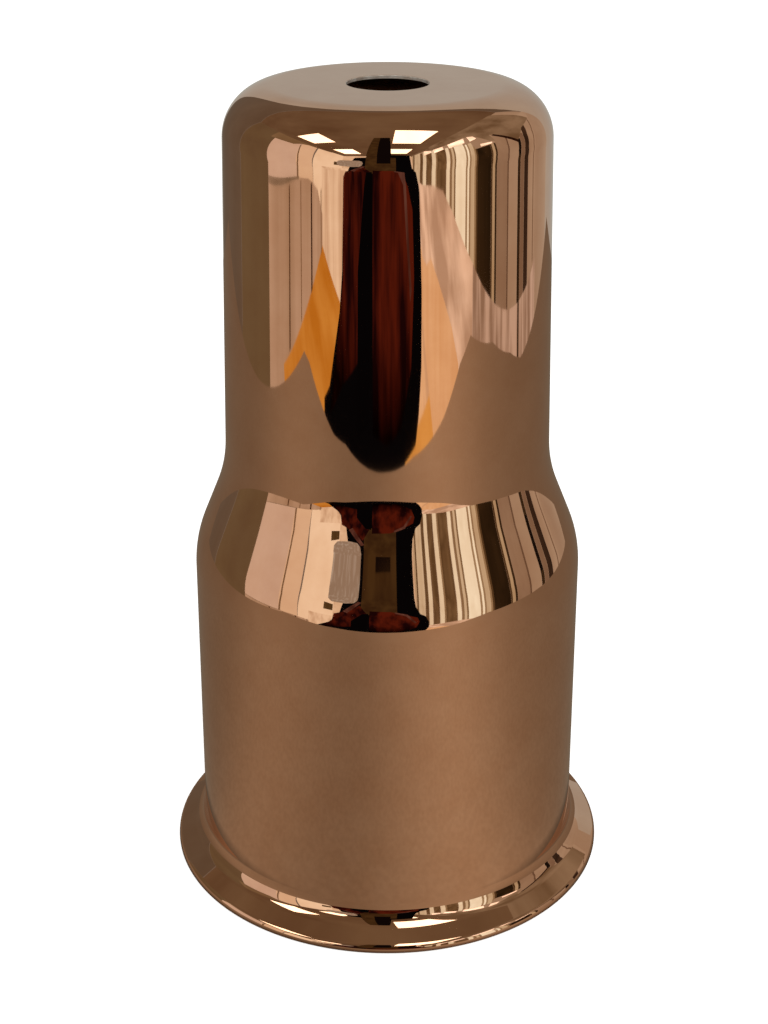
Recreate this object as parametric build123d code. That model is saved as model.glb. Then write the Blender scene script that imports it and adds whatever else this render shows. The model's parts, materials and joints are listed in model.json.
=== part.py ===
"""Polished copper-plated lampholder cover, standing mouth down over the E27 lampholder it houses.

Millimetres, +Z up. The origin is on the common axis, in the plane that both rims stand on.
"""
from build123d import *
from math import cos, pi, radians, sin, tan
import os

# ---- cover: one sheet-metal shell, drawn in two steps, with a flared and rolled rim
SHEET = 0.45                 # sheet thickness
COVER_HEIGHT = 108.8
HOLE_R = 5.15                # clearance hole for an M10 nipple
NECK_TOP_R = 20.5            # narrow upper barrel, slightly tapered
NECK_FOOT_R = 21.8
SHOULDER_FILLET = 6.5
CONE_TOP_Z = 58.5            # cone between the two barrels
CONE_FOOT_Z = 47.2
CONE_TOP_FILLET = 16.5
CONE_FOOT_FILLET = 18.3
BELL_TOP_R = 26.35           # wide lower barrel
BELL_FOOT_R = 26.75
FLARE_Z = 3.15               # where the lower barrel turns out into the flange
FLARE_FILLET = 3.4
RIM_R = 30.8
RIM_ROLL_Z = 0.88            # where the flange turns down into the rim's edge
RIM_ROLL_FILLET = 1.05

# ---- lampholder mouldings
HOLDER_R = 19.0              # outside of skirt and cap
HOLDER_HEIGHT = 57.0
SKIRT_TOP_Z = 33.0           # shoulder that the cap sits on
SKIRT_BORE_R = 16.6
SPIGOT_R = 17.35             # the cap pushes over this
SPIGOT_TOP_Z = 38.0
SNAP_BEAD_Z = 36.0
SNAP_BEAD_R = 17.57
CAP_SOCKET_R = 17.65
CAP_CAVITY_R = 16.25
CAP_CAVITY_TOP_Z = 47.6
CAP_CROWN_Z = 50.0
BOSS_R = 8.0
GRIP_FLUTES = 40
FLUTE_R = 0.7
FLUTE_DEPTH = 0.45
HOLD_DOWN_RIBS = 4

# ---- M10 entry
ENTRY_BORE_R = 4.5           # tapping size of the M10 x 1 thread
BUSH_R = 6.2
BUSH_FLANGE_R = 7.4
BUSH_FLANGE_THICK = 1.2
BUSH_CHAMFER = 0.5
GRUB_R = 1.5
GRUB_LENGTH = 4.0
GRUB_TIP_R = 4.9             # distance of the tip from the axis
GRUB_Z = 53.5

# ---- insulating block and what is riveted to it
BLOCK_R = 16.3
BLOCK_FOOT_Z = 28.0
BLOCK_TOP_Z = 34.0
LEDGE_R = 14.8
LEDGE_THICK = 2.5
RUNNING_GAP = 0.05           # radial clearance of each turning or sliding fit
RIVET_R = 1.2
RIVET_HEAD_R = 2.2
RIVET_HEAD_THICK = 0.8
SHELL_RIVET_OFFSET = 10.9
TERMINAL_OFFSET = 10.0
LIVE_RECESS_R = 2.6
LIVE_RECESS_DEPTH = 2.0

# ---- E27 screw shell
SHELL_SHEET = 0.4
THREAD_PITCH = 3.62
THREAD_TURNS = 5
THREAD_CREST_R = 12.15       # inside, at the crests
THREAD_ROOT_R = 13.3         # inside, at the roots
THREAD_ROUND = 0.9
SHELL_FLANGE_R = 9.0

# ---- sprung centre contact
STEM_R = 2.0
CONTACT_HEAD_R = 4.0
CONTACT_TIP_Z = 24.0
CONTACT_HEAD_THICK = 2.0
CONTACT_TRAVEL_ROOM = 2.0    # gap between contact head and block
SPRING_POCKET_R = 3.7
SPRING_POCKET_DEPTH = 3.0
SPRING_MEAN_R = 2.95
SPRING_WIRE_R = 0.3
SPRING_TURNS = 4
CLIP_THICK = 0.6
CLIP_R = 3.3
CLIP_GROOVE_R = 1.5
STRIP_THICK = 0.8
STEM_ABOVE_CLIP = 0.8

# ---- pillar terminals
PILLAR_X = 6.8
PILLAR_Y = 6.0
PILLAR_TOP_Z = 42.0
WINDOW_X = 4.4
WINDOW_FOOT_Z = 36.4
WINDOW_TOP_Z = 39.6
PLATE_GAP = 0.1
PLATE_THICK = 0.8
SCREW_R = 1.45
SCREW_HEAD_R = 2.6
SCREW_HEAD_THICK = 1.6
SCREW_HEAD_LIFT = 0.4        # under the head when the screw is home
SLOT_WIDTH = 0.8
SLOT_DEPTH = 0.7


def turned(*corners):
    """Revolve a closed outline of (radius, z) or (radius, z, fillet) corners about Z."""
    points = [corner[:2] for corner in corners]
    fillets = [corner[2] if len(corner) == 3 else 0 for corner in corners]
    outline = FilletPolyline(*points, radius=fillets, close=True)
    return revolve(Plane.XZ * make_face(outline), axis=Axis.Z)


def rod(radius, foot_z, top_z, x=0.0, y=0.0):
    """Upright cylinder between two heights."""
    return Pos(x, y, (foot_z + top_z) / 2) * Cylinder(radius, top_z - foot_z)


def bar(size_x, size_y, foot_z, top_z, x=0.0, y=0.0):
    """Upright box between two heights."""
    return Pos(x, y, (foot_z + top_z) / 2) * Box(size_x, size_y, top_z - foot_z)


def inner_corners(corners, gap):
    """Corners of the line that runs gap inside an outline drawn from the axis outwards and down."""
    inside = []
    for (r0, z0, _), (r1, z1, fillet), (r2, z2, _) in zip(corners, corners[1:], corners[2:]):
        first, second = Vector(r1 - r0, z1 - z0).normalized(), Vector(r2 - r1, z2 - z1).normalized()
        turn = radians(first.get_signed_angle(second, Vector(0, 0, 1)))
        along = gap * tan(turn / 2)
        normal = Vector(first.Y, -first.X)
        corner = Vector(r1, z1) + normal * gap + first * along
        inside.append((corner.X, corner.Y, fillet + gap if turn > 0 else fillet - gap))
    return inside


def cover():
    outside = [
        (HOLE_R, COVER_HEIGHT, 0),
        (NECK_TOP_R, COVER_HEIGHT, SHOULDER_FILLET),
        (NECK_FOOT_R, CONE_TOP_Z, CONE_TOP_FILLET),
        (BELL_TOP_R, CONE_FOOT_Z, CONE_FOOT_FILLET),
        (BELL_FOOT_R, FLARE_Z, FLARE_FILLET),
        (RIM_R, RIM_ROLL_Z, RIM_ROLL_FILLET),
        (RIM_R, 0, 0),
    ]
    inside = [(HOLE_R, COVER_HEIGHT - SHEET, 0)]
    inside += inner_corners(outside, SHEET)
    inside += [(RIM_R - SHEET, 0, 0)]
    return turned(*outside, *reversed(inside))


def skirt():
    ledge_foot_z = BLOCK_FOOT_Z - LEDGE_THICK
    return turned(
        (SKIRT_BORE_R, 0),
        (HOLDER_R, 0, 0.8),
        (HOLDER_R, SKIRT_TOP_Z, 0.3),
        (SPIGOT_R, SKIRT_TOP_Z),
        (SPIGOT_R, SNAP_BEAD_Z - 0.5),
        (SNAP_BEAD_R, SNAP_BEAD_Z),
        (SPIGOT_R, SNAP_BEAD_Z + 0.5),
        (SPIGOT_R, SPIGOT_TOP_Z, 0.3),
        (SKIRT_BORE_R, SPIGOT_TOP_Z),
        (SKIRT_BORE_R, BLOCK_FOOT_Z),
        (LEDGE_R, BLOCK_FOOT_Z),
        (LEDGE_R, ledge_foot_z),
        (SKIRT_BORE_R, ledge_foot_z, 0.5),
    )


def grub_path(radius):
    """Cylinder through the entry boss along -Y, for the locking screw's hole."""
    reach = BOSS_R + 2
    return Pos(0, -reach / 2, GRUB_Z) * Rot(90, 0, 0) * Cylinder(radius, reach)


def cap():
    body = turned(
        (BUSH_R, CAP_CAVITY_TOP_Z),
        (BUSH_R, HOLDER_HEIGHT),
        (BOSS_R, HOLDER_HEIGHT, 0.6),
        (BOSS_R, CAP_CROWN_Z, 1.2),
        (HOLDER_R, CAP_CROWN_Z, 7.0),
        (HOLDER_R, SKIRT_TOP_Z, 0.3),
        (CAP_SOCKET_R, SKIRT_TOP_Z),
        (CAP_SOCKET_R, SPIGOT_TOP_Z + 0.3),
        (CAP_CAVITY_R, SPIGOT_TOP_Z + 0.3),
        (CAP_CAVITY_R, CAP_CAVITY_TOP_Z, 4.3),
    )
    flute_circle = HOLDER_R + FLUTE_R - FLUTE_DEPTH
    flutes = [
        rod(FLUTE_R, SKIRT_TOP_Z - 1, 43.5, flute_circle * cos(turn), flute_circle * sin(turn))
        for turn in (2 * pi * k / GRIP_FLUTES for k in range(GRIP_FLUTES))
    ]
    rib = bar(2.6, 3.0, BLOCK_TOP_Z, 41.0, x=CAP_CAVITY_R - 1.3)
    rib += bar(1.6, 3.0, SPIGOT_TOP_Z + 0.3, 41.0, x=CAP_CAVITY_R)
    ribs = [Rot(0, 0, 45 + 360 / HOLD_DOWN_RIBS * k) * rib for k in range(HOLD_DOWN_RIBS)]
    return body - flutes + ribs - grub_path(GRUB_R + RUNNING_GAP)


def entry_bush():
    flange_foot_z = CAP_CAVITY_TOP_Z - BUSH_FLANGE_THICK
    bush = turned(
        (ENTRY_BORE_R, flange_foot_z),
        (BUSH_FLANGE_R, flange_foot_z),
        (BUSH_FLANGE_R, CAP_CAVITY_TOP_Z),
        (BUSH_R, CAP_CAVITY_TOP_Z),
        (BUSH_R, HOLDER_HEIGHT),
        (ENTRY_BORE_R + BUSH_CHAMFER, HOLDER_HEIGHT),
        (ENTRY_BORE_R, HOLDER_HEIGHT - BUSH_CHAMFER),
    )
    return bush - grub_path(GRUB_R + RUNNING_GAP)


def locking_screw():
    middle_r = GRUB_TIP_R + GRUB_LENGTH / 2
    grub = Cylinder(GRUB_R, GRUB_LENGTH)
    grub = chamfer(grub.faces().sort_by(Axis.Z)[0].edges(), 0.4)
    grub -= Pos(0, 0, GRUB_LENGTH / 2) * Box(2 * GRUB_R + 1, 0.5, 1.4)
    return Pos(0, -middle_r, GRUB_Z) * Rot(90, 0, 0) * grub


def contact_block():
    pocket_top_z = BLOCK_FOOT_Z + SPRING_POCKET_DEPTH
    block = turned(
        (0, BLOCK_FOOT_Z),
        (BLOCK_R, BLOCK_FOOT_Z, 0.4),
        (BLOCK_R, BLOCK_TOP_Z, 0.4),
        (0, BLOCK_TOP_Z),
    )
    block -= rod(SPRING_POCKET_R, BLOCK_FOOT_Z, pocket_top_z)
    block -= rod(STEM_R + RUNNING_GAP, BLOCK_FOOT_Z, BLOCK_TOP_Z)
    block -= rod(LIVE_RECESS_R, BLOCK_FOOT_Z, BLOCK_FOOT_Z + LIVE_RECESS_DEPTH, x=TERMINAL_OFFSET)
    for x, y in RIVET_PLACES:
        block -= rod(RIVET_R, BLOCK_FOOT_Z, BLOCK_TOP_Z, x, y)
    return block


def screw_shell():
    """Rolled brass shell: its round thread is drawn as rings, one per turn."""
    flange_foot_z = BLOCK_FOOT_Z - SHELL_SHEET
    half = THREAD_PITCH / 2
    first_z = flange_foot_z - 1.2
    wave = [
        (THREAD_CREST_R if k % 2 else THREAD_ROOT_R, first_z - half * k, THREAD_ROUND)
        for k in range(2 * THREAD_TURNS + 1)
    ]
    mouth_z = wave[-1][1] - 1.2
    inside = [(THREAD_ROOT_R, flange_foot_z, 0)] + wave + [(THREAD_ROOT_R, mouth_z, 0)]
    outside = [(r + SHELL_SHEET, z, fillet) for r, z, fillet in inside]
    outside[0] = (THREAD_ROOT_R + SHELL_SHEET, BLOCK_FOOT_Z, 0)
    shell = turned(
        (SHELL_FLANGE_R, BLOCK_FOOT_Z), *outside, *reversed(inside), (SHELL_FLANGE_R, flange_foot_z)
    )
    shell -= bar(6.0, 7.0, flange_foot_z - 0.1, BLOCK_FOOT_Z + 0.1, x=TERMINAL_OFFSET)
    for x, y in RIVET_PLACES:
        shell -= rod(RIVET_R, flange_foot_z - 0.1, BLOCK_FOOT_Z + 0.1, x, y)
    return shell


def rivet(head_top_z, shank_top_z, x=0.0, y=0.0):
    """Rivet with its preformed head underneath."""
    head = rod(RIVET_HEAD_R, head_top_z - RIVET_HEAD_THICK, head_top_z, x, y)
    return head + rod(RIVET_R, head_top_z, shank_top_z, x, y)


def shell_rivets():
    under_flange_z = BLOCK_FOOT_Z - SHELL_SHEET
    rivets = []
    for y in (-SHELL_RIVET_OFFSET, SHELL_RIVET_OFFSET):
        shank = rivet(under_flange_z, BLOCK_TOP_Z, y=y)
        rivets.append(shank + rod(RIVET_HEAD_R, BLOCK_TOP_Z, BLOCK_TOP_Z + RIVET_HEAD_THICK, y=y))
    return Compound(children=[piece.solid() for piece in rivets])


def centre_contact():
    head_top_z = CONTACT_TIP_Z + CONTACT_HEAD_THICK
    groove_foot_z = BLOCK_TOP_Z + STRIP_THICK
    groove_top_z = groove_foot_z + CLIP_THICK
    return turned(
        (0, CONTACT_TIP_Z),
        (CONTACT_HEAD_R, CONTACT_TIP_Z, 0.9),
        (CONTACT_HEAD_R, head_top_z, 0.2),
        (STEM_R, head_top_z),
        (STEM_R, groove_foot_z),
        (CLIP_GROOVE_R, groove_foot_z),
        (CLIP_GROOVE_R, groove_top_z),
        (STEM_R, groove_top_z),
        (STEM_R, groove_top_z + STEM_ABOVE_CLIP, 0.3),
        (0, groove_top_z + STEM_ABOVE_CLIP),
    )


def contact_clip():
    foot_z = BLOCK_TOP_Z + STRIP_THICK
    top_z = foot_z + CLIP_THICK
    ring = rod(CLIP_R, foot_z, top_z) - rod(CLIP_GROOVE_R, foot_z, top_z)
    return ring - bar(CLIP_R, 2.0, foot_z, top_z, x=-CLIP_R / 2 - 0.5)


def contact_spring():
    foot_z = CONTACT_TIP_Z + CONTACT_HEAD_THICK + SPRING_WIRE_R
    top_z = BLOCK_FOOT_Z + SPRING_POCKET_DEPTH - SPRING_WIRE_R
    height = top_z - foot_z
    path = Pos(0, 0, foot_z) * Helix(pitch=height / SPRING_TURNS, height=height, radius=SPRING_MEAN_R)
    wire_section = Plane(origin=path @ 0, z_dir=path % 0) * Circle(SPRING_WIRE_R)
    return sweep(wire_section, path=path, is_frenet=True)


def live_strip():
    """Brass strip that carries the live side from its pillar to the centre contact's stem."""
    end_x = TERMINAL_OFFSET + PILLAR_X / 2
    top_z = BLOCK_TOP_Z + STRIP_THICK
    strip = rod(3.4, BLOCK_TOP_Z, top_z) + bar(end_x, PILLAR_Y, BLOCK_TOP_Z, top_z, x=end_x / 2)
    strip -= rod(STEM_R + RUNNING_GAP, BLOCK_TOP_Z, top_z)
    return strip - rod(RIVET_R, BLOCK_TOP_Z, top_z, x=TERMINAL_OFFSET)


def pillar(x, foot_z):
    """Pillar terminal: wire window along Y, clamping screw from above."""
    block = bar(PILLAR_X, PILLAR_Y, foot_z, PILLAR_TOP_Z, x)
    block = chamfer(block.faces().sort_by(Axis.Z)[-1].edges(), 0.4)
    block -= bar(WINDOW_X, PILLAR_Y + 1, WINDOW_FOOT_Z, WINDOW_TOP_Z, x)
    block -= rod(SCREW_R + RUNNING_GAP, WINDOW_TOP_Z, PILLAR_TOP_Z, x)
    return block - rod(RIVET_R, foot_z, WINDOW_FOOT_Z, x)


def clamp_plate(x):
    foot_z = WINDOW_FOOT_Z + PLATE_GAP
    plate = bar(WINDOW_X - 2 * PLATE_GAP, PILLAR_Y - 0.2, foot_z, foot_z + PLATE_THICK, x)
    return chamfer(plate.edges().filter_by(Axis.X).group_by(Axis.Z)[0], 0.3)


def terminal_screw(x):
    tip_z = WINDOW_FOOT_Z + PLATE_GAP + PLATE_THICK
    head_foot_z = PILLAR_TOP_Z + SCREW_HEAD_LIFT
    head_top_z = head_foot_z + SCREW_HEAD_THICK
    screw = turned(
        (0, tip_z),
        (SCREW_R, tip_z, 0.2),
        (SCREW_R, head_foot_z),
        (SCREW_HEAD_R, head_foot_z),
        (SCREW_HEAD_R, head_top_z, 0.4),
        (0, head_top_z),
    )
    screw -= bar(2 * SCREW_HEAD_R + 1, SLOT_WIDTH, head_top_z - SLOT_DEPTH, head_top_z + 1)
    return Pos(x, 0, 0) * screw


RIVET_PLACES = [
    (0, -SHELL_RIVET_OFFSET),
    (0, SHELL_RIVET_OFFSET),
    (-TERMINAL_OFFSET, 0),
    (TERMINAL_OFFSET, 0),
]
UNDER_SHELL_FLANGE_Z = BLOCK_FOOT_Z - SHELL_SHEET
LIVE_HEAD_TOP_Z = BLOCK_FOOT_Z + LIVE_RECESS_DEPTH

nodes = {
    "cover": cover(),
    "skirt": skirt(),
    "cap": cap(),
    "entry_bush": entry_bush(),
    "locking_screw": locking_screw(),
    "contact_block": contact_block(),
    "screw_shell": screw_shell(),
    "shell_rivets": shell_rivets(),
    "centre_contact": centre_contact(),
    "contact_clip": contact_clip(),
    "contact_spring": contact_spring(),
    "live_strip": live_strip(),
    "live_terminal": pillar(TERMINAL_OFFSET, BLOCK_TOP_Z + STRIP_THICK),
    "neutral_terminal": pillar(-TERMINAL_OFFSET, BLOCK_TOP_Z),
    "live_rivet": rivet(LIVE_HEAD_TOP_Z, WINDOW_FOOT_Z, x=TERMINAL_OFFSET),
    "neutral_rivet": rivet(UNDER_SHELL_FLANGE_Z, WINDOW_FOOT_Z, x=-TERMINAL_OFFSET),
    "live_clamp_plate": clamp_plate(TERMINAL_OFFSET),
    "neutral_clamp_plate": clamp_plate(-TERMINAL_OFFSET),
    "live_screw": terminal_screw(TERMINAL_OFFSET),
    "neutral_screw": terminal_screw(-TERMINAL_OFFSET),
}

os.makedirs("parts", exist_ok=True)
for name, shape in nodes.items():
    export_step(shape, f"parts/{name}.step")
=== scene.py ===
"""Looks for the copper-plated lampholder cover and the E27 lampholder in it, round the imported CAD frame."""

import json
from math import atan2, cos, hypot, pi, radians, sin, tan

import bmesh
import bpy
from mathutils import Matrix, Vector


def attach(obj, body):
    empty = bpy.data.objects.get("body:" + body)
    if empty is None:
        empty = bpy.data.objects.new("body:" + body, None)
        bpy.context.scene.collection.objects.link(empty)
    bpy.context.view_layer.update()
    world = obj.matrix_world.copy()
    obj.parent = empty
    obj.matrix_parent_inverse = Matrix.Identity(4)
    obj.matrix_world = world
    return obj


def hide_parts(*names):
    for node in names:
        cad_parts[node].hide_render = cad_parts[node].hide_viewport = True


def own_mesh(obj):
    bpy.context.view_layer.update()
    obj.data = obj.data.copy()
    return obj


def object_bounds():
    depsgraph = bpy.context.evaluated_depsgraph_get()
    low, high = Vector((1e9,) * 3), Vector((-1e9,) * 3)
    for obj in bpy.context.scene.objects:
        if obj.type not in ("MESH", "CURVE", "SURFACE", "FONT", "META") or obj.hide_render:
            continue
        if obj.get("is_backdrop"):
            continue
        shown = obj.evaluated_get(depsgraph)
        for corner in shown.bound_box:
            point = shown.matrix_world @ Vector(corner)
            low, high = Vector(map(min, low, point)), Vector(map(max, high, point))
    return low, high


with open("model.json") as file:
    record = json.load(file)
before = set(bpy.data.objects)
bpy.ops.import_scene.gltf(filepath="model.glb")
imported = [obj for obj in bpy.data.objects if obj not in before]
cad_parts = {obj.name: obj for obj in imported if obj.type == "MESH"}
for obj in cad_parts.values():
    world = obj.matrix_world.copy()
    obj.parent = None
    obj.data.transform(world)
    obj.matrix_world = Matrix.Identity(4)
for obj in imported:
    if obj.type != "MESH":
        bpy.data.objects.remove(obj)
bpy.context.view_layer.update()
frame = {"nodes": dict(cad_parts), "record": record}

MM = 0.001

# ---- the cover's sheet, in millimetres
SHEET = 0.45
HOLE_R, TOP_Z = 5.15, 108.8
RIM_R = 30.8
EDGE_FILLET = 0.12                   # where the sheet is cut, at the hole and at the rim
BACK_FILLET = 0.05                   # the hole's edge on the inside
# its outside from the hole out and down to the rim: (radius, height, fillet)
OUTSIDE = [
    (HOLE_R, TOP_Z, EDGE_FILLET),
    (20.5, TOP_Z, 6.5),
    (21.8, 58.5, 20.5),
    (26.35, 47.4, 16.5),
    (26.75, 3.15, 3.4),
    (RIM_R, 0.88, 1.05),
    (RIM_R, 0.0, EDGE_FILLET),
]
LATHE_STEPS = 288                    # divisions round the axis
ARC_STEP = radians(1.5)              # turn of the outline between two points of a fillet
RUN_STEP = 1.6                       # longest straight piece of the outline

# ---- the centre contact's spring, in millimetres
COIL_FOOT, COIL_TOP = 26.3, 30.7     # heights of the wire's middle at the coil's two ends
COIL_R, WIRE_R, COIL_TURNS = 2.95, 0.3, 4
COIL_STEPS = 48                      # divisions in a turn of the spring
WIRE_SIDES = 12

# ---- the camera stands close to the object and looks down at it
CAMERA_PLACE = (-0.45 * MM, -213.93 * MM, 147.95 * MM)
CAMERA_DIP = 0.4269                  # radians below level
CAMERA_LENS, SENSOR = 60.15, 36.0    # millimetres; the sensor's size is its height

# ---- linear colours of the plating
COPPER = (0.90, 0.56, 0.385)
COPPER_DARK = (0.84, 0.50, 0.33)


# ======================================================================== materials
class Graph:
    """A new material and short calls for its nodes."""

    def __init__(self, name):
        self.material = bpy.data.materials.new(name)
        self.material.use_nodes = True
        self.tree = self.material.node_tree
        self.tree.nodes.clear()
        self.output = self.node("ShaderNodeOutputMaterial")
        self.place = self.node("ShaderNodeTexCoord").outputs["Object"]

    def node(self, kind, **inputs):
        made = self.tree.nodes.new(kind)
        for name, value in inputs.items():
            self.put(made.inputs[name.replace("_", " ")], value)
        return made

    def put(self, socket, value):
        if isinstance(value, bpy.types.NodeSocket):
            self.tree.links.new(value, socket)
        else:
            socket.default_value = value

    def stretched(self, x, y, z):
        """The place on the object, scaled along each axis."""
        return self.node("ShaderNodeMapping", Vector=self.place, Scale=(x, y, z)).outputs["Vector"]

    def noise(self, scale, detail=3.0, place=None, roughness=0.5):
        made = self.node(
            "ShaderNodeTexNoise", Vector=place or self.place, Scale=scale, Detail=detail, Roughness=roughness
        )
        return made.outputs["Fac"]

    def spread(self, value, low, high, new_low, new_high):
        made = self.node(
            "ShaderNodeMapRange", Value=value,
            From_Min=low, From_Max=high, To_Min=new_low, To_Max=new_high,
        )
        return made.outputs["Result"]

    def between(self, factor, first, second):
        """A colour that runs from first to second as factor runs from 0 to 1."""
        ramp = self.node("ShaderNodeValToRGB", Fac=factor)
        for stop, colour in zip(ramp.color_ramp.elements, (first, second)):
            stop.color = (*colour, 1.0)
        return ramp.outputs["Color"]

    def math(self, operation, first, second, kind="ShaderNodeMath"):
        made = self.node(kind)
        made.operation = operation
        self.put(made.inputs[0], first)
        self.put(made.inputs[1], second)
        return made.outputs[0]

    def emit(self, colour, strength):
        """The output of an emission shader, in a material that isn't sampled as a light."""
        light = self.node("ShaderNodeEmission", Color=colour, Strength=strength)
        self.material.cycles.emission_sampling = "NONE"
        return light.outputs["Emission"]

    def bump(self, height, distance, below=None):
        made = self.node("ShaderNodeBump", Height=height, Distance=distance)
        if below is not None:
            self.put(made.inputs["Normal"], below)
        return made.outputs["Normal"]

    def principled(self, **inputs):
        shader = self.node("ShaderNodeBsdfPrincipled", **inputs)
        self.put(self.output.inputs["Surface"], shader.outputs["BSDF"])
        return self.material


def copper(name, roughness, waviness, light=COPPER, dark=COPPER_DARK):
    """Plated and polished drawn sheet: faint clouding, soft waves in the sheet, very fine polishing lines."""
    g = Graph(name)
    clouds = g.spread(g.noise(160, 6.0, roughness=0.65), 0.35, 0.65, 0.0, 1.0)
    wipes = g.noise(90, 3.0, g.stretched(1, 1, 0.25))
    waves = g.bump(g.noise(75, 1.0, g.stretched(1, 1, 0.3)), waviness)
    lines = g.bump(g.noise(1500, 2.0, g.stretched(1, 1, 0.15)), waviness * 0.008, waves)
    return g.principled(
        Base_Color=g.between(clouds, light, dark),
        Metallic=1.0,
        Roughness=g.spread(wipes, 0.3, 0.7, roughness * 0.7, roughness * 1.5),
        Normal=lines,
    )


def solid(name, light, dark, metallic, roughness, patch, grain, height, streak=(1, 1, 1)):
    """A finish with patches of two close colours, uneven gloss and a fine grain that stands height proud."""
    g = Graph(name)
    patches = g.spread(g.noise(patch, 4.0), 0.38, 0.62, 0.0, 1.0)
    gloss = g.noise(patch * 1.7, 4.0, g.stretched(1, 1, 0.6))
    texture = g.noise(grain, 3.0, g.stretched(*streak))
    return g.principled(
        Base_Color=g.between(patches, light, dark),
        Metallic=metallic,
        Roughness=g.spread(gloss, 0.3, 0.7, roughness[0], roughness[1]),
        Normal=g.bump(texture, height),
    )


FINISHES = {
    "copper_plate": copper("copper_plate", 0.022, 0.00002),
    "black_phenolic": solid(
        "black_phenolic", (0.019, 0.016, 0.014), (0.012, 0.010, 0.009), 0.0, (0.12, 0.22),
        700, 2600, 0.000004,
    ),
    "white_insulator": solid(
        "white_insulator", (0.72, 0.69, 0.62), (0.62, 0.585, 0.51), 0.0, (0.42, 0.6), 400, 2600, 0.00003,
    ),
    "brass": solid(
        "brass", (0.80, 0.55, 0.25), (0.66, 0.42, 0.17), 1.0, (0.16, 0.34),
        250, 1400, 0.000012, (0.2, 0.2, 3),
    ),
    "nickel_brass": solid(
        "nickel_brass", (0.70, 0.66, 0.58), (0.60, 0.55, 0.46), 1.0, (0.2, 0.36),
        220, 1600, 0.00001, (3, 3, 0.3),
    ),
    "steel": solid(
        "steel", (0.66, 0.67, 0.68), (0.50, 0.52, 0.55), 1.0, (0.24, 0.42), 500, 2200, 0.00001,
    ),
}
CUT_EDGE = solid(
    "cut_edge", (0.86, 0.78, 0.70), (0.62, 0.50, 0.42), 0.3, (0.35, 0.6), 900, 2400, 0.00002,
)
COPPER_INSIDE = copper("copper_inside", 0.22, 0.00002, (0.74, 0.46, 0.30), (0.60, 0.36, 0.23))

for row in frame["record"]["subparts"]:
    slots = frame["nodes"][row["node"]].data.materials
    slots.clear()
    slots.append(FINISHES[row["material_slot"]])


# ======================================================================== the cover and the spring
def inner_corners(corners, gap):
    """Corners of the line that runs gap inside an outline drawn from the axis outwards and down."""
    inside = []
    for (r0, z0, _), (r1, z1, fillet), (r2, z2, _) in zip(corners, corners[1:], corners[2:]):
        first = Vector((r1 - r0, z1 - z0)).normalized()
        second = Vector((r2 - r1, z2 - z1)).normalized()
        turn = atan2(first.x * second.y - first.y * second.x, first.dot(second))
        corner = Vector((r1, z1)) + (Vector((first.y, -first.x)) + first * tan(turn / 2)) * gap
        inside.append((corner.x, corner.y, fillet + gap if turn > 0 else fillet - gap))
    return inside


def rounded(corners):
    """Points along a line of (radius, height, fillet) corners, close together on the fillets."""
    points = []
    count = len(corners)
    for k, (r, z, fillet) in enumerate(corners):
        corner = Vector((r, z))
        back = (Vector(corners[k - 1][:2]) - corner).normalized()
        on = (Vector(corners[(k + 1) % count][:2]) - corner).normalized()
        half = back.angle(on) / 2
        reach = fillet / tan(half)
        centre = corner + (back + on).normalized() * hypot(fillet, reach)
        start, end = corner + back * reach - centre, corner + on * reach - centre
        turn = atan2(start.x * end.y - start.y * end.x, start.dot(end))
        steps = max(3, round(abs(turn) / ARC_STEP))
        for i in range(steps + 1):
            part = turn * i / steps
            points.append(centre + Vector((
                start.x * cos(part) - start.y * sin(part), start.x * sin(part) + start.y * cos(part)
            )))
    return points


def divided(points):
    """The closed line through points, with its long straight runs divided."""
    line = []
    for a, b in zip(points, points[1:] + points[:1]):
        pieces = max(1, round((b - a).length / RUN_STEP))
        line += [a.lerp(b, i / pieces) for i in range(pieces)]
    return line


def skin(name, rings, closed, materials, material_of=lambda i: 0):
    """A smooth mesh through rings of points in millimetres; closed joins the last ring to the first."""
    mesh = bmesh.new()
    loops = [[mesh.verts.new([c * MM for c in point]) for point in ring] for ring in rings]
    for i, (ring, after) in enumerate(zip(loops, loops[1:] + loops[:1] if closed else loops[1:])):
        for k in range(len(ring)):
            face = mesh.faces.new((ring[k - 1], after[k - 1], after[k], ring[k]))
            face.smooth = True
            face.material_index = material_of(i)
    if not closed:
        mesh.faces.new(loops[0])
        mesh.faces.new(loops[-1])
    bmesh.ops.recalc_face_normals(mesh, faces=mesh.faces)
    data = bpy.data.meshes.new(name)
    mesh.to_mesh(data)
    mesh.free()
    for material in materials:
        data.materials.append(material)
    made = bpy.data.objects.new(name, data)
    bpy.context.scene.collection.objects.link(made)
    return made


def turned(line):
    """Rings that turn a closed (radius, height) line round the Z axis."""
    angles = [2 * pi * k / LATHE_STEPS for k in range(LATHE_STEPS)]
    return [[(p.x * cos(a), p.x * sin(a), p.y) for a in angles] for p in line]


def wound(foot, top, radius, wire, turns):
    """Rings round a wire that is wound into a coil round the Z axis."""
    rings = []
    steps = COIL_STEPS * turns
    for i in range(steps + 1):
        turn = 2 * pi * i / COIL_STEPS
        out = Vector((cos(turn), sin(turn), 0))
        along = Vector((-sin(turn), cos(turn), (top - foot) / (2 * pi * radius * turns))).normalized()
        centre = out * radius + Vector((0, 0, foot + (top - foot) * i / steps))
        rings.append([
            centre + (out * cos(side) + along.cross(out) * sin(side)) * wire
            for side in (2 * pi * k / WIRE_SIDES for k in range(WIRE_SIDES))
        ])
    return rings


inner_corner_line = list(reversed(inner_corners(OUTSIDE, SHEET)))
inside = [(RIM_R - SHEET, 0.0, EDGE_FILLET), *inner_corner_line, (HOLE_R, TOP_Z - SHEET, BACK_FILLET)]
outline = divided(rounded(OUTSIDE + inside))
# the outline's first point past the middle of the cut edge at the rim
first_inside = next(
    i for i, p in enumerate(outline) if p.y < EDGE_FILLET / 2 and p.x < RIM_R - SHEET / 2
)


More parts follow.
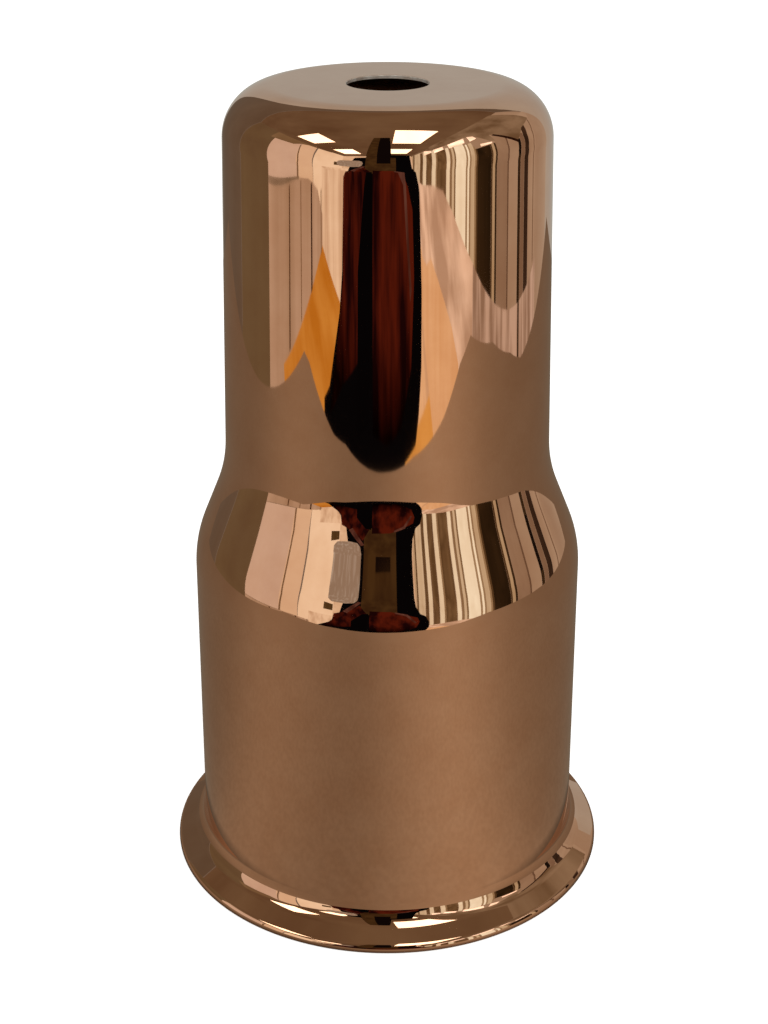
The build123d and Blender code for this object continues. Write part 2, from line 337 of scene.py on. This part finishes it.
def sheet_side(i):
    """Which of the cover's materials follows point i of the outline: outside, inside or the cut edge."""
    if outline[i].x < HOLE_R + EDGE_FILLET / 2:
        return 2
    return int(i >= first_inside)


cover = skin(
    "cover_shell", turned(outline), True, [FINISHES["copper_plate"], COPPER_INSIDE, CUT_EDGE], sheet_side
)
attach(cover, "cover")
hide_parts("cover")

# the spring over the centre contact, made as a fixed coil; a lamp pressing the contact up would shorten the
# real one
spring = skin(
    "contact_coil", wound(COIL_FOOT, COIL_TOP, COIL_R, WIRE_R, COIL_TURNS), False, [FINISHES["steel"]]
)
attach(spring, "lampholder")
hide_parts("contact_spring")
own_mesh(spring)


# ======================================================================== studio
def glow(name, first, second=None, scale=1.0, stretch=(1, 1, 1), low=0.35, high=0.65, fade=None):
    """A card's light, one colour running into another. fade, (low z, high z, least), dims it downwards."""
    g = Graph(name)
    factor = g.spread(g.noise(scale, 4.0, g.stretched(*stretch)), low, high, 0.0, 1.0)
    strength = 1.0
    if fade is not None:
        height = g.node("ShaderNodeSeparateXYZ", Vector=g.place).outputs["Z"]
        strength = g.spread(height, fade[0], fade[1], fade[2], 1.0)
    g.put(g.output.inputs["Surface"], g.emit(g.between(factor, first, second or first), strength))
    return g.material


def polygon(name, corners, material):
    data = bpy.data.meshes.new(name)
    data.from_pydata([tuple(c) for c in corners], [], [list(range(len(corners)))])
    data.materials.append(material)
    made = bpy.data.objects.new(name, data)
    bpy.context.scene.collection.objects.link(made)
    made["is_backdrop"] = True
    return made


def seen_by(made, camera=False, glossy=False, diffuse=False, shadow=False):
    made.visible_camera = camera
    made.visible_glossy = glossy
    made.visible_diffuse = diffuse
    made.visible_shadow = shadow
    made.visible_transmission = camera
    made.visible_volume_scatter = False


def card(name, corners, material):
    """A flat card that shows only in the object's reflections."""
    made = polygon(name, corners, material)
    seen_by(made, glossy=True)
    return made


def level(x0, x1, y0, y1, z):
    return [(x0, y0, z), (x1, y0, z), (x1, y1, z), (x0, y1, z)]


def facing_x(x, y0, y1, z0, z1):
    return [(x, y0, z0), (x, y1, z0), (x, y1, z1), (x, y0, z1)]


def facing_y(y, x0, x1, z0, z1):
    return [(x0, y, z0), (x1, y, z0), (x1, y, z1), (x0, y, z1)]


# the reflected room, in metres round the object; angles are in degrees round from the camera's side
LEFT_X, RIGHT_X = -2.3, 1.15         # its side walls
FAR_Y, BACK_Y = -3.9, 1.3            # its wall behind the camera, and the backdrop behind the object
CEILING_Z, FLOOR_Z = 1.7, -0.66
UNDER_Z = -0.75                      # the walls reach below the floor
FLAG_Y = -0.30                       # dark flag behind the camera
TAWNY, ROSY = 0.15, 0.27             # share of blue in a wall's dark tones, and in the right wall's back part
ROSY_FROM = 78                       # the angle at which that back part begins
# a strip of the right wall leans back above LEAN_Z: a metre higher by LEAN degrees, if it is at LEAN_AT
LEAN, LEAN_AT, LEAN_Z = 11, 77, 0.1
BENDS = (LEAN_Z, 0.4, 0.7, 1.0, 1.3)    # heights at which its edges bend
# its foot is at FOOT_Z, and below the angle DROP_FROM it drops: by DROP, if it is DROP_OVER less
FOOT_Z, LOWEST_FOOT = -0.24, -0.6
DROP, DROP_FROM, DROP_OVER = 0.215, 45, 21


def seen_at(x, angle):
    """How far along Y a wall at x the object sees at this angle, in degrees from the camera's side."""
    return -x / tan(radians(angle))


def shows(red, green, blue):
    """The light that the copper reflects as this sRGB colour."""
    linear = (((c / 255 + 0.055) / 1.055) ** 2.4 for c in (red, green, blue))
    return tuple(light / tint for light, tint in zip(linear, COPPER))


def warm(tone, blue=TAWNY):
    """The light of a wall that looks this red in the copper; blue is the share of blue in a dark tone."""
    part = tone / 255
    return shows(tone, tone * (0.53 + 0.36 * part), tone * (blue + (0.75 - blue) * part))


def on_left(depth, points):
    """Corners this depth in front of the left wall, from (angle seen, height) pairs."""
    return [(LEFT_X + depth, seen_at(LEFT_X, angle), z) for angle, z in points]


def on_right(depth, points):
    return [(RIGHT_X - depth, seen_at(RIGHT_X, angle), z) for angle, z in points]


def on_flag(depth, points):
    return [(x, FLAG_Y + depth, z) for x, z in points]


def slat(start, end, high):
    """A strip of the right wall. Its upper part leans back, and its foot drops towards the room's far end."""
    def lean(angle, z):
        return angle + LEAN * (angle / LEAN_AT) ** 2 * max(0.0, z - LEAN_Z) ** 1.5

    def heights(angle):
        foot = max(LOWEST_FOOT, FOOT_Z - DROP * (max(0.0, DROP_FROM - angle) / DROP_OVER) ** 1.8)
        return [foot, *(z for z in BENDS if z < high), high]

    up = [(lean(start, z), z) for z in heights(start)]
    down = [(lean(end, z), z) for z in reversed(heights(end))]
    return up + down


# room shell
card("card_ceiling", level(LEFT_X, RIGHT_X, FAR_Y, BACK_Y, CEILING_Z),
     glow("ceiling", shows(108, 75, 49), shows(92, 60, 37), 0.9))
card("card_floor_left", level(LEFT_X, 0.3, FAR_Y, -0.6, FLOOR_Z + 0.012),
     glow("floor_boards", shows(184, 102, 24), shows(200, 122, 45), 1.2, (1, 3, 1)))
card("card_floor_right", level(0.3, RIGHT_X, FAR_Y, -2.05, FLOOR_Z),
     glow("floor_sheen", shows(228, 166, 116), shows(206, 148, 104), 4, (2.5, 0.35, 1), 0.42, 0.58))
card("card_floor_near", level(0.3, RIGHT_X, -2.05, 0.0, FLOOR_Z),
     glow("floor_near", shows(220, 144, 68), shows(206, 128, 52), 2))
card("card_floor_back", level(LEFT_X - 0.1, RIGHT_X + 0.1, -0.6, BACK_Y + 0.1, UNDER_Z),
     glow("floor_back", shows(112, 84, 58), shows(98, 72, 48), 1.2))
card("card_left_far", on_left(0, [
    (-51, UNDER_Z), (-20, UNDER_Z), (-20, CEILING_Z), (-51, CEILING_Z),
]), glow("left_far", shows(240, 194, 154), shows(232, 184, 144), 0.8))
card("card_left_middle", on_left(0, [
    (-64, UNDER_Z), (-51, UNDER_Z), (-52.5, CEILING_Z), (-65.5, CEILING_Z),
]), glow("left_middle", shows(219, 169, 129), shows(213, 162, 124), 0.8))
card("card_left_near", on_left(0.004, [
    (-87.5, UNDER_Z), (-63, UNDER_Z), (-65.5, CEILING_Z), (-91, CEILING_Z),
]), glow("left_near", shows(206, 160, 129), shows(196, 150, 121), 0.8))
card("card_left_back", facing_x(LEFT_X - 0.004, -0.3, BACK_Y, UNDER_Z, CEILING_Z),
     glow("left_dark", shows(105, 76, 48), shows(98, 69, 44), 0.8))
card("card_left_top", on_left(0.01, [
    (-95, 1.2), (-88, 1.22), (-72, 1.3), (-67, 1.5), (-60, 1.62), (-40, 1.66),
    (-40, CEILING_Z), (-95, CEILING_Z),
]), glow("left_top", shows(128, 92, 60), shows(112, 78, 48), 0.8))
card("card_far", facing_y(FAR_Y, LEFT_X, RIGHT_X, FLOOR_Z, CEILING_Z),
     glow("far_wall", shows(226, 178, 138), shows(205, 155, 116), 2.0))
card("card_far_low", [
    (LEFT_X, -2.33, FLOOR_Z), (-1.5, -2.40, FLOOR_Z), (0.1, -2.75, FLOOR_Z),
    (0.1, -2.75, -0.1), (LEFT_X, -2.33, -0.1),
], glow("far_low", shows(232, 184, 144), shows(200, 150, 112), 6, (1, 1, 0.4)))
card("card_right", facing_x(RIGHT_X, FAR_Y, BACK_Y, UNDER_Z, CEILING_Z),
     glow("right_wall", warm(166, ROSY), warm(152, ROSY), 0.9))
card("card_back_dark", facing_y(BACK_Y + 0.02, LEFT_X, RIGHT_X, UNDER_Z, CEILING_Z),
     glow("backdrop_dark", shows(100, 74, 54), shows(92, 67, 48), 0.8))
card("card_back", [
    (-0.34, BACK_Y, UNDER_Z), (-0.47, BACK_Y, 0.45), (-0.47, BACK_Y, 1.0), (-0.42, BACK_Y, 1.2),
    (-0.3, BACK_Y, 1.35), (-0.1, BACK_Y, 1.43), (0.7, BACK_Y, 1.45), (0.92, BACK_Y, 1.38),
    (1.08, BACK_Y, 1.2), (RIGHT_X, BACK_Y, 0.9), (RIGHT_X, BACK_Y, UNDER_Z),
], glow("backdrop_pale", shows(168, 138, 112), shows(160, 130, 106), 0.8))

# light panels in the ceiling
PANEL = glow("panel", (3.2, 3.1, 2.7))
for k, (x0, x1, y0, y1) in enumerate([
    (0.10, 0.72, -1.40, -0.36),
    (-1.90, -1.15, -1.20, -0.42),
    (-1.80, -1.05, -3.10, -2.12),
    (0.05, 0.72, -3.00, -2.12),
]):
    card(f"card_panel_{k}", level(x0, x1, y0, y1, CEILING_Z - 0.01), PANEL)

# the right wall, by the angle at which the object sees it: (start, end, top, first tone, second tone)
RIGHT_WALL = [
    (12.5, 15.4, 1.7, 96, 50), (15.4, 16.8, 1.7, 190, 170), (16.8, 17.7, 1.7, 104, 96),
    (17.7, 21.4, 1.7, 208, 190), (21.6, 23.3, 1.45, 108, 92), (23.5, 25.6, 1.5, 228, 214),
    (25.8, 29.4, 1.15, 116, 92), (29.6, 32.2, 1.3, 232, 216), (32.2, 33.2, 1.1, 150, 140),
    (33.2, 39.4, 1.05, 118, 88), (39.7, 42.0, 1.1, 242, 226), (42.4, 43.6, 1.0, 140, 130),
    (43.7, 45.2, 1.0, 206, 196), (45.2, 46.3, 1.0, 140, 120), (46.3, 53.6, 1.0, 250, 236),
    (53.7, 54.8, 0.9, 168, 156), (54.9, 56.2, 0.9, 250, 240), (56.3, 57.3, 0.9, 158, 150),
    (57.4, 60.2, 0.9, 208, 190), (60.2, 61.4, 0.7, 156, 146), (61.4, 62.6, 0.58, 92, 80),
    (62.6, 73.6, 0.57, 52, 34), (73.7, 74.8, 0.57, 84, 70), (74.8, 76.9, 0.57, 180, 170),
    (77.0, 78.5, 0.57, 62, 50), (78.7, 88.0, 1.0, 152, 138), (88.1, 89.4, 0.8, 108, 100),
    (98.6, 101.3, 0.4, 28, 20), (101.5, 105.4, 0.5, 130, 116), (105.6, 110.2, 0.7, 66, 44),
    (110.3, 119.0, 1.0, 166, 156), (116.4, 117.4, 0.7, 116, 108),
]
for k, (start, end, high, first, second) in enumerate(RIGHT_WALL):
    blue = ROSY if start > ROSY_FROM else TAWNY
    card(f"card_slat_{k}", on_right(0.008 + 0.0004 * k, slat(start, end, high)),
         glow(f"slat_{k}", warm(first, blue), warm(second, blue), 5, (1, 1, 0.3)))
card("card_right_top", on_right(0.03, [
    (14, 1.6), (26, 1.55), (34, 1.32), (45, 1.27), (66, 1.24), (75, 1.05), (80, 0.68), (84, 0.62),
    (86, 0.9), (89, 0.84), (101, 0.36), (106, 0.45), (115, 0.62), (131, 0.72),
    (131, CEILING_Z), (14, CEILING_Z),
]), glow("right_top", shows(138, 103, 74), shows(104, 72, 46), 2.0))
card("card_beam", on_right(0.034, [(87, 0.83), (89.5, 0.86), (102, 0.38), (101, 0.30), (94, 0.55)]),
     glow("beam", shows(40, 16, 6)))
WINDOW = glow("window", (2.2, 2.2, 2.2), (1.4, 1.3, 1.2), 3)
for k, corners in enumerate([
    [(26, 1.12), (27, 1.52), (32, 1.30), (32, 1.15)],
    [(34, 1.03), (34, 1.30), (42.5, 1.26), (42, 1.06)],
    [(46.5, 1.0), (47.5, 1.24), (65, 1.22), (61, 0.98)],
    [(66, 0.95), (69, 1.22), (74, 1.12), (73.5, 0.97)],
    [(69.5, 0.60), (71, 0.70), (81, 0.63), (80, 0.58)],
]):
    card(f"card_window_{k}", on_right(0.036, corners), WINDOW)
card("card_floor_edge", on_right(0.038, [
    (12, -0.66), (17, -0.58), (20, -0.50), (23.8, -0.43), (27.5, -0.365), (31, -0.317), (38, -0.255),
    (45, -0.232), (50, -0.226), (60, -0.219), (60, -0.45), (40, -0.52), (12, -0.75),
]), glow("floor_edge", shows(232, 180, 144), shows(182, 134, 102), 5, (1, 0.35, 1.8), 0.38, 0.58))
card("card_floor_side", on_right(0.038, [
    (60, -0.219), (75, -0.220), (85, -0.222), (95, -0.225), (105, -0.230), (120, -0.244),
    (120, -0.45), (60, -0.45),
]), glow("floor_side", shows(192, 148, 120), shows(142, 102, 76), 7, (1, 1.6, 1), 0.4, 0.6))
card("card_floor_glow", on_right(0.042, [
    (12, -0.70), (24, -0.555), (27, -0.50), (30, -0.435), (35, -0.395), (40, -0.37), (45, -0.355),
    (50, -0.36), (50, -0.66), (12, -0.80),
]), glow("floor_glow", shows(226, 164, 114), shows(216, 150, 98), 3))
card("card_floor_seam", on_right(0.046, [(99.6, -0.33), (98.8, 0.0), (100.4, 0.0), (101, -0.33)]),
     glow("floor_seam", warm(56)))

# the left wall: its plinth and ledge, a seam, a frame, and the door gaps of a low cupboard
for k, (corners, first, second) in enumerate([
    ([(-88, -0.70), (-88, -0.355), (-70, -0.37), (-62, -0.385), (-55, -0.42), (-48, -0.5), (-44, -0.60),
      (-44, -0.70)], (188, 142, 110), (164, 120, 88)),
    ([(-88, -0.362), (-80, -0.366), (-72, -0.373), (-66, -0.382), (-62, -0.392), (-62, -0.380),
      (-66, -0.370), (-72, -0.361), (-80, -0.354), (-88, -0.350)], (150, 112, 84), (120, 88, 62)),
    ([(-63.6, -0.38), (-62.4, -0.38), (-62, 0.2), (-63.6, 0.9), (-65.8, 1.45), (-66.6, 1.45), (-64.6, 0.9),
      (-63, 0.2)], (112, 76, 48), (128, 88, 58)),
    ([(-36.3, 0.2), (-36.3, 0.62), (-31, 0.62), (-31, 0.2)], (92, 62, 32), (70, 44, 20)),
    ([(-70.6, -0.64), (-70.2, -0.38), (-69.4, -0.38), (-69.6, -0.64)], (84, 48, 24), (84, 48, 24)),
    ([(-61.0, -0.64), (-61.0, -0.40), (-60.4, -0.40), (-60.4, -0.64)], (120, 80, 50), (120, 80, 50)),
    ([(-53.2, -0.65), (-53.2, -0.45), (-52.2, -0.45), (-52.2, -0.65)], (64, 34, 16), (64, 34, 16)),
    ([(-46.0, -0.66), (-46.0, -0.52), (-45.4, -0.52), (-45.4, -0.66)], (130, 90, 60), (130, 90, 60)),
]):
    card(f"card_left_{k}", on_left(0.012 + 0.002 * k, corners),
         glow(f"left_{k}", shows(*first), shows(*second), 1.5, (1, 1, 0.5)))

# the dark flag behind the camera with a column above it, and what hangs and stands before it
card("card_flag", on_flag(0, [
    (-0.275, -0.10), (-0.275, -0.05), (-0.24, -0.038), (-0.215, -0.022), (-0.185, -0.003),
    (-0.172, 0.012), (-0.166, 0.042), (-0.145, 0.055), (-0.135, 0.11), (-0.13, 0.165), (-0.12, 0.20),
    (-0.078, 0.205), (-0.074, 0.6), (0.012, 0.6), (0.012, 0.235), (0.078, 0.23), (0.08, 0.135),
    (0.083, 0.09), (0.095, 0.055), (0.112, 0.042), (0.122, 0.012), (0.122, -0.012), (0.112, -0.026),
    (0.10, -0.034), (0.06, -0.036), (0.06, -0.10),
]), glow("flag", shows(6, 2, 2)))
card("card_column", on_flag(0.004, [
    (-0.077, 0.055), (-0.073, 0.6), (-0.038, 0.6), (-0.038, 0.21), (0.027, 0.20), (0.027, 0.055),
]), glow("column", shows(68, 42, 18), shows(52, 29, 12), 30))
card("card_square", on_flag(0.005, [(-0.037, 0.142), (-0.037, 0.6), (0.009, 0.6), (0.009, 0.142)]),
     glow("square", shows(14, 5, 3)))
card("card_grey", on_flag(0.008, [
    (-0.19, 0.120), (-0.192, 0.140), (-0.188, 0.158), (-0.175, 0.166), (-0.10, 0.166), (-0.088, 0.158),
    (-0.084, 0.140), (-0.088, 0.116), (-0.098, 0.104), (-0.125, 0.100), (-0.175, 0.104),
]), glow("grey", shows(146, 114, 90), shows(176, 148, 126), 120, (1, 1, 1), 0.5, 0.75))
RED = glow(
    "cloth", shows(80, 22, 8), shows(26, 3, 2), 30, (1, 1, 0.6), 0.40, 0.60, fade=(-0.024, 0.008, 0.06)
)
for k, corners in enumerate([
    [(-0.235, -0.046), (-0.165, -0.022), (-0.10, -0.006), (-0.065, -0.014), (-0.09, 0.02), (-0.064, 0.03),
     (-0.06, 0.062), (-0.08, 0.095), (-0.115, 0.066), (-0.162, 0.046), (-0.165, 0.012), (-0.19, -0.01)],
    [(-0.05, -0.024), (0.0, -0.026), (0.045, -0.022), (0.08, -0.006), (0.09, 0.02), (0.084, 0.04),
     (0.05, 0.055), (0.01, 0.07), (-0.05, 0.072)],
]):
    card(f"card_cloth_{k}", on_flag(0.006, corners), RED)
for k, corners in enumerate([
    [(-0.13, 0.062), (-0.085, 0.112), (-0.074, 0.108), (-0.115, 0.056)],
    [(0.02, 0.062), (0.05, 0.050), (0.075, 0.015), (0.08, 0.018), (0.055, 0.056), (0.02, 0.068)],
]):
    card(f"card_fold_{k}", on_flag(0.010, corners),
         glow(f"fold_{k}", shows(104, 60, 46), shows(66, 30, 20), 40))
card("card_gap_0", on_flag(0.010, [
    (-0.105, -0.03), (-0.062, -0.02), (-0.052, 0.06), (-0.070, 0.058), (-0.102, 0.022),
]), glow("gap_0", shows(5, 1, 1)))

# the table that the object stands on, seen only in the reflections: its light changes round the object
PAPER_Z, TABLE_Z = -0.0002, -0.0004
TABLE = [
    (-0.243, -0.160), (-0.225, -0.170), (-0.13, -0.184), (-0.10, -0.195), (0.0, -0.202), (0.061, -0.203),
    (0.143, -0.190), (0.211, -0.186), (0.256, -0.170), (0.280, -0.08), (0.272, 0.0), (0.256, 0.05),
    (0.25, 0.30), (-0.243, 0.30),
]
TABLE_LIGHT = 0.8
ROUND_THE_TABLE = [  # (degrees round from the camera's side, share of the light)
    (-180, 0.44), (-120, 0.50), (-93, 0.50), (-66, 0.86), (-40, 0.68), (-15, 0.52), (7, 0.85), (29, 1.14),
    (46, 1.0), (66, 0.69), (90, 0.56), (120, 0.52), (180, 0.44),
]
SHADOW_FROM, SHADOW_TO = 0.0308, 0.034    # radii between which the shadow round the rim fades away


def table_top():
    g = Graph("table")
    place = g.node("ShaderNodeSeparateXYZ", Vector=g.place).outputs
    toward = g.math("ARCTAN2", place["X"], g.math("MULTIPLY", place["Y"], -1.0))
    ramp = g.node("ShaderNodeValToRGB", Fac=g.spread(toward, -pi, pi, 0.0, 1.0))
    ramp.color_ramp.interpolation = "B_SPLINE"
    stops = ramp.color_ramp.elements
    while len(stops) < len(ROUND_THE_TABLE):
        stops.new(0.5)
    for stop, (angle, share) in zip(stops, ROUND_THE_TABLE):
        stop.position = (angle + 180) / 360
        stop.color = (share * TABLE_LIGHT, share * TABLE_LIGHT, share * TABLE_LIGHT, 1.0)
    specks = g.spread(g.noise(700, 3.0), 0.35, 0.65, 0.0, 1.0)
    wood = g.between(specks, (0.365, 0.288, 0.206), (0.335, 0.262, 0.186))
    lit = g.math("MULTIPLY", wood, ramp.outputs["Color"], "ShaderNodeVectorMath")
    distance = g.node("ShaderNodeVectorMath", Vector=g.place)
    distance.operation = "LENGTH"
    strength = g.spread(distance.outputs["Value"], SHADOW_FROM, SHADOW_TO, 0.3, 1.25)
    g.put(g.output.inputs["Surface"], g.emit(lit, strength))
    return g.material


card("card_table", [(x, y, TABLE_Z) for x, y in TABLE], table_top())


# what the camera sees round the object: a pale floor and a pale dome
def floor_paper():
    g = Graph("floor_paper")
    tint = g.between(g.noise(900, 3.0), (0.93, 0.93, 0.92), (0.90, 0.90, 0.89))
    paper = g.node("ShaderNodeBsdfDiffuse", Color=tint)
    both = g.node("ShaderNodeAddShader")
    g.put(both.inputs[0], paper.outputs["BSDF"])
    g.put(both.inputs[1], g.emit((1.0, 1.0, 0.995, 1.0), 0.80))
    g.put(g.output.inputs["Surface"], both.outputs["Shader"])
    return g.material


PALE = 0.96
FLOOR_HALF, DOME_R = 2.5, 4.0
floor = polygon("floor", level(-FLOOR_HALF, FLOOR_HALF, -FLOOR_HALF, FLOOR_HALF, PAPER_Z), floor_paper())
seen_by(floor, camera=True, diffuse=True, shadow=True)

dome_mesh = bmesh.new()
bmesh.ops.create_icosphere(dome_mesh, subdivisions=4, radius=DOME_R)
dome_data = bpy.data.meshes.new("dome")
dome_mesh.to_mesh(dome_data)
dome_mesh.free()
dome_data.materials.append(glow("dome_pale", (PALE, PALE, PALE)))
dome = bpy.data.objects.new("dome", dome_data)
bpy.context.scene.collection.objects.link(dome)
dome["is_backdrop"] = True
seen_by(dome, camera=True)


def soft_light(name, place, target, size, power, colour=(1.0, 0.97, 0.93)):
    data = bpy.data.lights.new(name, "AREA")
    data.shape = "SQUARE"
    data.size = size
    data.energy = power
    data.color = colour
    made = bpy.data.objects.new(name, data)
    made.location = place
    made.rotation_euler = (Vector(target) - Vector(place)).to_track_quat("-Z", "Y").to_euler()
    made.visible_glossy = False
    made.visible_camera = False
    bpy.context.scene.collection.objects.link(made)


soft_light("key", (0.5, -0.7, 1.1), (0, 0, 0.05), 0.8, 6.0)
soft_light("fill", (-0.9, -0.5, 0.7), (0, 0, 0.05), 0.9, 3.0)
soft_light("back", (0.2, 1.0, 0.9), (0, 0, 0.05), 0.8, 2.0)

world = bpy.data.worlds.new("soft_world")
world.use_nodes = True
world.node_tree.nodes["Background"].inputs["Color"].default_value = (0.5, 0.49, 0.47, 1.0)
world.node_tree.nodes["Background"].inputs["Strength"].default_value = 0.4
bpy.context.scene.world = world
bpy.context.scene.view_settings.view_transform = "Standard"

camera_data = bpy.data.cameras.new("camera")
camera_data.lens = CAMERA_LENS
camera_data.sensor_width = SENSOR
camera_data.clip_start, camera_data.clip_end = 0.01, 20.0
camera = bpy.data.objects.new("camera", camera_data)
camera.location = CAMERA_PLACE
camera.rotation_euler = (pi / 2 - CAMERA_DIP, 0.0, 0.0)
bpy.context.scene.collection.objects.link(camera)
bpy.context.scene.camera = camera

low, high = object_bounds()
